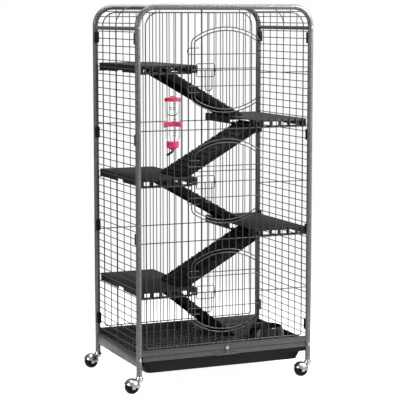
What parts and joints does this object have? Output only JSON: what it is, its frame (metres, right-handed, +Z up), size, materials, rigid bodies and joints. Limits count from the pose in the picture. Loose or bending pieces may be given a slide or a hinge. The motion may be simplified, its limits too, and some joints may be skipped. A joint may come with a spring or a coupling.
{
  "type": "small animal cage",
  "caption": "Tall wire cage on casters with arched latched doors, staggered shelves joined by ramps, a slide-out tray, a hanging water bottle and a feed bowl.",
  "frame": {"origin": "on the floor, in the middle between the four posts", "axes": "+Z up, +X to the right seen from the front, -Y towards the front with the doors"},
  "size_m": [0.7132, 0.5083, 1.32],
  "materials": {
    "frame_coat": "hammered silver-grey powder coat",
    "wire_coat": "silver-grey powder coat on round wire",
    "black_plastic": "fine grained black moulding",
    "bright_metal": "bright chrome plate",
    "plain_steel": "plain bright steel",
    "tab_coat": "hammered silver-grey powder coat",
    "wheel_black": "hard black wheel",
    "pink_plastic": "glossy pink moulding",
    "clear_plastic": "clear moulded bottle",
    "bowl_black": "glossy black bowl"
  },
  "bodies": {
    "cage": {"front_frame": "frame_coat", "rear_frame": "frame_coat", "top_rail_left": "frame_coat", "top_rail_right": "frame_coat", "base_rail_left": "frame_coat", "base_rail_right": "frame_coat", "base_rail_front": "frame_coat", "base_rail_rear": "frame_coat", "floor_grate": "frame_coat", "front_panel_left": "wire_coat", "front_panel_middle": "wire_coat", "front_panel_right": "wire_coat", "rear_panel": "wire_coat", "side_panel_left": "wire_coat", "side_panel_right": "wire_coat", "roof_panel": "wire_coat", "latch_keepers": "wire_coat", "panel_clips": "black_plastic", "caster_sockets": "black_plastic", "shelf_1": "black_plastic", "shelf_2": "black_plastic", "shelf_3": "black_plastic", "shelf_4": "black_plastic", "shelf_5": "black_plastic", "frame_screws": "bright_metal", "lock_tab_screw": "bright_metal", "rail_inserts": "plain_steel", "bottle_bracket": "pink_plastic"},
    "tray": {"tray": "black_plastic"},
    "lock_tab": {"lock_tab": "tab_coat"},
    "door_1": {"door_1": "wire_coat"},
    "latch_bolt_1": {"latch_bolt_1": "wire_coat"},
    "door_2": {"door_2": "wire_coat"},
    "latch_bolt_2": {"latch_bolt_2": "wire_coat"},
    "door_3": {"door_3": "wire_coat"},
    "latch_bolt_3": {"latch_bolt_3": "wire_coat"},
    "ramp_1": {"ramp_1": "black_plastic"},
    "ramp_2": {"ramp_2": "black_plastic"},
    "ramp_3": {"ramp_3": "black_plastic"},
    "ramp_4": {"ramp_4": "black_plastic"},
    "ramp_5": {"ramp_5": "black_plastic"},
    "caster_front_left": {"caster_hood_front_left": "bright_metal", "caster_axle_front_left": "bright_metal"},
    "wheel_front_left": {"caster_wheel_front_left": "wheel_black"},
    "caster_front_right": {"caster_hood_front_right": "bright_metal", "caster_axle_front_right": "bright_metal"},
    "wheel_front_right": {"caster_wheel_front_right": "wheel_black"},
    "caster_rear_left": {"caster_hood_rear_left": "bright_metal", "caster_axle_rear_left": "bright_metal"},
    "wheel_rear_left": {"caster_wheel_rear_left": "wheel_black"},
    "caster_rear_right": {"caster_hood_rear_right": "bright_metal", "caster_axle_rear_right": "bright_metal"},
    "wheel_rear_right": {"caster_wheel_rear_right": "wheel_black"},
    "bottle": {"bottle_body": "clear_plastic", "bottle_lid": "pink_plastic", "bottle_cap": "pink_plastic", "sipper_tube": "plain_steel", "sipper_ball": "plain_steel"},
    "bowl": {"bowl": "bowl_black"}
  },
  "joints": [
    {"name": "door_1_hinge", "type": "hinge", "parent": "cage", "child": "door_1", "pos_m": [0.12826, -0.21, 1.097], "axis": [0, 0, 1], "range_deg": [0, 140]},
    {"name": "latch_1_slide", "type": "slide", "parent": "door_1", "child": "latch_bolt_1", "axis": [1, 0, 0], "range_m": [-0.015, 0]},
    {"name": "door_2_hinge", "type": "hinge", "parent": "cage", "child": "door_2", "pos_m": [0.12826, -0.21, 0.715], "axis": [0, 0, 1], "range_deg": [0, 140]},
    {"name": "latch_2_slide", "type": "slide", "parent": "door_2", "child": "latch_bolt_2", "axis": [1, 0, 0], "range_m": [-0.015, 0]},
    {"name": "door_3_hinge", "type": "hinge", "parent": "cage", "child": "door_3", "pos_m": [0.12826, -0.21, 0.333], "axis": [0, 0, 1], "range_deg": [0, 140]},
    {"name": "latch_3_slide", "type": "slide", "parent": "door_3", "child": "latch_bolt_3", "axis": [1, 0, 0], "range_m": [-0.015, 0]},
    {"name": "tray_slide", "type": "slide", "parent": "cage", "child": "tray", "axis": [0, -1, 0], "range_m": [0, 0.3]},
    {"name": "lock_tab_swivel", "type": "hinge", "parent": "cage", "child": "lock_tab", "pos_m": [0.003, -0.216, 0.132], "axis": [0, 1, 0], "range_deg": [-90, 90]},
    {"name": "ramp_1_hinge", "type": "hinge", "parent": "cage", "child": "ramp_1", "pos_m": [-0.1088, 0.09, 1.0912], "axis": [0, -1, 0], "range_deg": [0, 30]},
    {"name": "ramp_2_hinge", "type": "hinge", "parent": "cage", "child": "ramp_2", "pos_m": [0.1088, -0.09, 0.9002], "axis": [0, 1, 0], "range_deg": [0, 30]},
    {"name": "ramp_3_hinge", "type": "hinge", "parent": "cage", "child": "ramp_3", "pos_m": [-0.1088, 0.09, 0.7092], "axis": [0, -1, 0], "range_deg": [0, 30]},
    {"name": "ramp_4_hinge", "type": "hinge", "parent": "cage", "child": "ramp_4", "pos_m": [0.1088, -0.09, 0.5182], "axis": [0, 1, 0], "range_deg": [0, 30]},
    {"name": "ramp_5_hinge", "type": "hinge", "parent": "cage", "child": "ramp_5", "pos_m": [-0.1088, 0.09, 0.3272], "axis": [0, -1, 0], "range_deg": [0, 30]},
    {"name": "swivel_front_left", "type": "hinge", "parent": "cage", "child": "caster_front_left", "pos_m": [-0.323, -0.21, 0.07], "axis": [0, 0, 1], "continuous": true},
    {"name": "roll_front_left", "type": "hinge", "parent": "caster_front_left", "child": "wheel_front_left", "pos_m": [-0.35, -0.21, 0.025], "axis": [0, 1, 0], "continuous": true},
    {"name": "swivel_front_right", "type": "hinge", "parent": "cage", "child": "caster_front_right", "pos_m": [0.323, -0.21, 0.07], "axis": [0, 0, 1], "continuous": true},
    {"name": "roll_front_right", "type": "hinge", "parent": "caster_front_right", "child": "wheel_front_right", "pos_m": [0.296, -0.21, 0.025], "axis": [0, 1, 0], "continuous": true},
    {"name": "swivel_rear_left", "type": "hinge", "parent": "cage", "child": "caster_rear_left", "pos_m": [-0.323, 0.21, 0.07], "axis": [0, 0, 1], "continuous": true},
    {"name": "roll_rear_left", "type": "hinge", "parent": "caster_rear_left", "child": "wheel_rear_left", "pos_m": [-0.35, 0.21, 0.025], "axis": [0, 1, 0], "continuous": true},
    {"name": "swivel_rear_right", "type": "hinge", "parent": "cage", "child": "caster_rear_right", "pos_m": [0.323, 0.21, 0.07], "axis": [0, 0, 1], "continuous": true},
    {"name": "roll_rear_right", "type": "hinge", "parent": "caster_rear_right", "child": "wheel_rear_right", "pos_m": [0.296, 0.21, 0.025], "axis": [0, 1, 0], "continuous": true},
    {"name": "bottle_lift", "type": "slide", "parent": "cage", "child": "bottle", "axis": [0, 0, 1], "range_m": [0, 0.06]},
    {"name": "bowl_lift", "type": "slide", "parent": "cage", "child": "bowl", "axis": [0, 0, 1], "range_m": [0, 0.1]}
  ]
}
